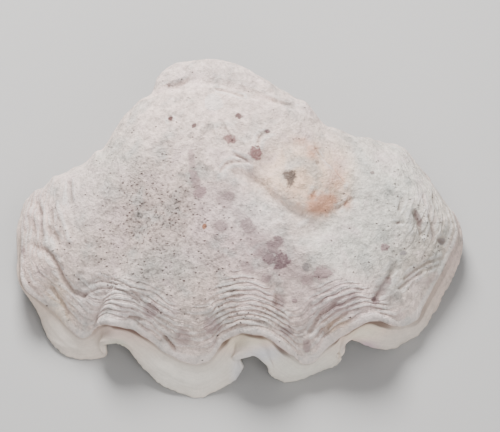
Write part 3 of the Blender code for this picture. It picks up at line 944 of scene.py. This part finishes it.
shellLook = {
    "patchScale": 55.0, "mottleScale": 170.0, "speckScale": 520.0, "grainScale": 1100.0,
    "pinkStrength": 0.45, "coolStrength": 0.35,
    "ridgeStrength": 0.35, "ridgeColour": (0.9, 0.87, 0.84, 1),
    "rustStrength": 0.8, "sunkenShadeStrength": 0.5, "contactStrength": 0.85,
    "striaScale": 900.0, "striaWander": 0.004, "striaStrength": 0.35, "lipBands": 0.07,
    "pitScale": 430.0, "pitSize": 0.37, "pitTurn": (0, 0, 0.6), "pitStretch": (1.0, 1.6, 1.3),
    "pitDrift": (0.0016, 0.0016, 0.0016), "pitStrength": 0.85,
    "roughOutside": 0.85, "roughLip": 0.62, "roughInside": 0.35, "specular": 0.35,
    "bumpStrength": 0.9, "bumpDistance": 0.0013, "striaBump": 0.8, "pitBump": -1.2,
}


def mottledTint(tree, patch, mottle, speck, outside):  # pinker or cooler from place to place, and mottled
    look = shellLook
    colour = attribute(tree, "tint", "Color")
    pinker = times(tree, between(tree, patch, 0.5, 0.72), look["pinkStrength"])
    colour = blendColours(tree, times(tree, pinker, outside), colour, flatColour("pinkish"))
    cooler = times(tree, between(tree, patch, 0.5, 0.3), look["coolStrength"])
    colour = blendColours(tree, times(tree, cooler, outside), colour, flatColour("coolish"))
    specks = between(tree, speck, 0.25, 0.75, -0.16, 0.1)
    light = calculate(tree, "ADD", between(tree, mottle, 0.25, 0.7, -0.2, 0.1), specks)
    light = calculate(tree, "ADD", light, between(tree, patch, 0.3, 0.65, -0.1, 0.06))
    rough = times(tree, attribute(tree, "pitted"), between(tree, speck, 0.5, 0.3, 0.0, -0.42))
    light = calculate(tree, "ADD", times(tree, light, 1.3), rough)
    light = timesPlus(tree, light, timesPlus(tree, outside, 0.8, 0.2), 1.0)
    grey = addNode(tree, "ShaderNodeCombineColor", {0: light, 1: light, 2: light}).outputs[0]
    return blendColours(tree, 1.0, colour, grey, "MULTIPLY")


def addStains(tree, colour, mottle, speck):  # rust, and encrusting spots with uneven edges
    uneven = calculate(tree, "SUBTRACT", mottle, 0.5)
    rust = timesPlus(tree, uneven, 0.9, attribute(tree, "rust"))
    rust = times(tree, between(tree, rust, 0.06, 0.85), shellLook["rustStrength"])
    colour = blendColours(tree, rust, colour, flatColour("rust"))
    edge = timesPlus(tree, uneven, 2.0, attribute(tree, "markField"))
    edge = timesPlus(tree, calculate(tree, "SUBTRACT", speck, 0.5), 1.1, edge)
    spots = times(tree, between(tree, edge, 0.3, 0.75), attribute(tree, "markStrength"))
    spots = times(tree, spots, between(tree, speck, 0.25, 0.55, 0.7, 1.0))
    return blendColours(tree, spots, colour, attribute(tree, "markColour", "Color"))


def growthStriae(tree, mottle):
    uneven = calculate(tree, "SUBTRACT", mottle, 0.5)
    down = timesPlus(tree, uneven, shellLook["striaWander"], attribute(tree, "downWay"))
    inputs = {"W": down, "Scale": shellLook["striaScale"], "Detail": 2.0}
    return addNode(tree, "ShaderNodeTexNoise", inputs, noise_dimensions="1D").outputs["Fac"]


def boredPits(tree, place, outside):  # in some of the cells, and in more where the shell is pitted
    look = shellLook
    inputs = {"Vector": place, "Rotation": look["pitTurn"], "Scale": look["pitStretch"]}
    slant = addNode(tree, "ShaderNodeMapping", inputs).outputs[0]
    inputs = {"Vector": place, "Scale": look["grainScale"], "Detail": 1.0}
    drift = addNode(tree, "ShaderNodeTexNoise", inputs).outputs["Color"]
    inputs = {0: drift, 1: look["pitDrift"], 2: slant}
    slant = addNode(tree, "ShaderNodeVectorMath", inputs, operation="MULTIPLY_ADD").outputs[0]
    inputs = {"Vector": slant, "Scale": look["pitScale"], "Randomness": 1.0}
    cells = addNode(tree, "ShaderNodeTexVoronoi", inputs)
    chance = addNode(tree, "ShaderNodeSeparateColor", {0: cells.outputs["Color"]}).outputs[0]
    unbored = calculate(tree, "SUBTRACT", 1.0, times(tree, attribute(tree, "pitted"), 0.9))
    bored = between(tree, chance, unbored, 1.0)
    radius = times(tree, bored, look["pitSize"])
    rim, bottom = calculate(tree, "ADD", radius, 0.05), calculate(tree, "SUBTRACT", radius, 0.12)
    pit = between(tree, cells.outputs["Distance"], rim, bottom)
    pit = times(tree, pit, calculate(tree, "GREATER_THAN", bored, 0.12))
    return times(tree, pit, outside)


def shellMaterial():
    look = shellLook
    material = bpy.data.materials.new("weatheredShell")
    material.use_nodes = True
    tree = material.node_tree
    shader = tree.nodes["Principled BSDF"]
    place = addNode(tree, "ShaderNodeTexCoord").outputs["Object"]
    lip, inside, hollow = attribute(tree, "lip"), attribute(tree, "inside"), attribute(tree, "hollow")
    outside = calculate(tree, "SUBTRACT", 1.0, calculate(tree, "ADD", lip, inside), clamp=True)
    patch = noise(tree, place, look["patchScale"], 3.0, 0.55, 0.4)
    mottle = noise(tree, place, look["mottleScale"], 4.0, 0.6, 0.2)
    speck = noise(tree, place, look["speckScale"], 3.0, 0.6)
    grain = noise(tree, place, look["grainScale"], 2.0, 0.6)
    stria = growthStriae(tree, mottle)
    striaHere = times(tree, attribute(tree, "growth"), between(tree, patch, 0.35, 0.6))
    pit = boredPits(tree, place, outside)

    # the tints, worn light ridges, and what has stained and settled on them
    colour = mottledTint(tree, patch, mottle, speck, outside)
    ridge = times(tree, between(tree, hollow, -0.03, -0.35), look["ridgeStrength"])
    colour = blendColours(tree, ridge, colour, look["ridgeColour"])
    colour = addStains(tree, colour, mottle, speck)

    # painted shade in the crevices and grooves, darker striae, the painted shadow under the ledge, and the
    # pits
    striaDark = times(tree, between(tree, stria, 0.5, 0.3), striaHere)
    lipBands = times(tree, lip, between(tree, stria, 0.5, 0.3, 0.0, look["lipBands"]))
    striaDark = timesPlus(tree, striaDark, look["striaStrength"], lipBands)
    sunkenShade = times(tree, between(tree, hollow, 0.08, 0.8), look["sunkenShadeStrength"])
    creviceShade = calculate(tree, "MAXIMUM", sunkenShade, attribute(tree, "grooveShade"))
    creviceShade = times(tree, creviceShade, between(tree, mottle, 0.3, 0.6, 0.2, 0.8))
    creviceShade = calculate(tree, "MAXIMUM", creviceShade, striaDark)
    colour = blendColours(tree, creviceShade, colour, flatColour("creviceShade"))
    contact = times(tree, attribute(tree, "contact"), look["contactStrength"])
    colour = blendColours(tree, contact, colour, flatColour("shade"))
    colour = blendColours(tree, times(tree, pit, look["pitStrength"]), colour, flatColour("pit"))
    tree.links.new(colour, shader.inputs["Base Color"])

    roughness = timesPlus(tree, lip, look["roughLip"] - look["roughOutside"], look["roughOutside"])
    roughness = timesPlus(tree, inside, look["roughInside"] - look["roughOutside"], roughness)
    tree.links.new(timesPlus(tree, mottle, 0.1, roughness), shader.inputs["Roughness"])
    shader.inputs["Specular IOR Level"].default_value = look["specular"]

    height = timesPlus(tree, grain, 0.35, times(tree, speck, 0.6))
    height = timesPlus(tree, mottle, 1.3, height)
    height = times(tree, height, timesPlus(tree, outside, 0.85, 0.15))
    height = timesPlus(tree, times(tree, stria, striaHere), look["striaBump"], height)
    height = timesPlus(tree, pit, look["pitBump"], height)
    inputs = {"Height": height, "Strength": look["bumpStrength"], "Distance": look["bumpDistance"]}
    bump = addNode(tree, "ShaderNodeBump", inputs)
    tree.links.new(bump.outputs[0], shader.inputs["Normal"])
    return material


valve = buildValve()
valve.data.materials.append(shellMaterial())
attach(valve, "root")
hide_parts("clam_shell")
print("valve finished")

# the floor, the camera and the light
studio = {
    "floorHalf": 3.0,
    "floorColour": (0.46, 0.455, 0.45, 1),
    "floorRough": 0.9,
    "floorDrop": 0.0003,               # just clear of the worn facets that the valve stands on
    "cameraDistance": 3.0,
    "cameraPlane": -0.022,             # how far the plane of true scale lies from the valve's own origin
    "frameWidth": 500 / 1.51 * 0.001,
    "frameMiddlePixel": (250, 216),
    "sensorWidth": 36,                 # in millimetres, as the lens is
    "viewEnd": 20,
    "lampAim": (0, 0, 0.03),
    "airColour": (0.75, 0.76, 0.78, 1),
    "airStrength": 0.36,
}
lamps = (
    {"name": "topSoft", "place": (-0.2, 0.95, 1.15), "size": 0.7, "power": 54, "colour": (1.0, 0.985, 0.97)},
    {"name": "frontFill", "place": (0.3, -1.2, 1.2), "size": 1.4, "power": 18, "colour": (0.99, 0.985, 0.98)},
)


def buildStudio():
    bpy.ops.object.select_all(action="DESELECT")
    bpy.ops.mesh.primitive_plane_add(size=2 * studio["floorHalf"], location=(0, 0, -studio["floorDrop"]))
    floor = bpy.context.object
    floor.name = "studio_floor"
    look = bpy.data.materials.new("paleFloor")
    look.use_nodes = True
    shader = look.node_tree.nodes["Principled BSDF"]
    shader.inputs["Base Color"].default_value = studio["floorColour"]
    shader.inputs["Roughness"].default_value = studio["floorRough"]
    floor.data.materials.append(look)
    world = bpy.data.worlds.new("studioAir")
    world.use_nodes = True
    air = world.node_tree.nodes["Background"]
    air.inputs["Color"].default_value = studio["airColour"]
    air.inputs["Strength"].default_value = studio["airStrength"]
    bpy.context.scene.world = world


def addCamera():
    above, scale = photoView["cameraAbove"], photoView["pixelsPerMm"]
    towards = Vector((0, -math.cos(above), math.sin(above)))
    upInPhoto = Vector((0, math.sin(above), math.cos(above)))
    middleX = (studio["frameMiddlePixel"][0] - photoView["originPixel"][0]) / scale
    middleUp = (photoView["originPixel"][1] - studio["frameMiddlePixel"][1]) / scale
    target = Vector((middleX, 0, 0)) + upInPhoto * middleUp - Vector((*valveForm["planCentre"], 0))
    target = target * valveForm["mm"] + towards * studio["cameraPlane"]
    bpy.ops.object.camera_add(location=target + towards * studio["cameraDistance"])
    camera = bpy.context.object
    camera.rotation_euler = (-towards).to_track_quat("-Z", "Y").to_euler()
    camera.data.sensor_width = studio["sensorWidth"]
    camera.data.lens = studio["sensorWidth"] * studio["cameraDistance"] / studio["frameWidth"]
    camera.data.clip_end = studio["viewEnd"]
    bpy.context.scene.camera = camera


def addLamps():
    for lamp in lamps:
        bpy.ops.object.light_add(type="AREA", location=lamp["place"])
        light = bpy.context.object
        light.name = lamp["name"]
        light.data.shape = "DISK"
        light.data.size = lamp["size"]
        light.data.energy = lamp["power"]
        light.data.color = lamp["colour"]
        aim = Vector(studio["lampAim"]) - Vector(lamp["place"])
        light.rotation_euler = aim.to_track_quat("-Z", "Y").to_euler()


buildStudio()
addCamera()
addLamps()
print("studio ready")
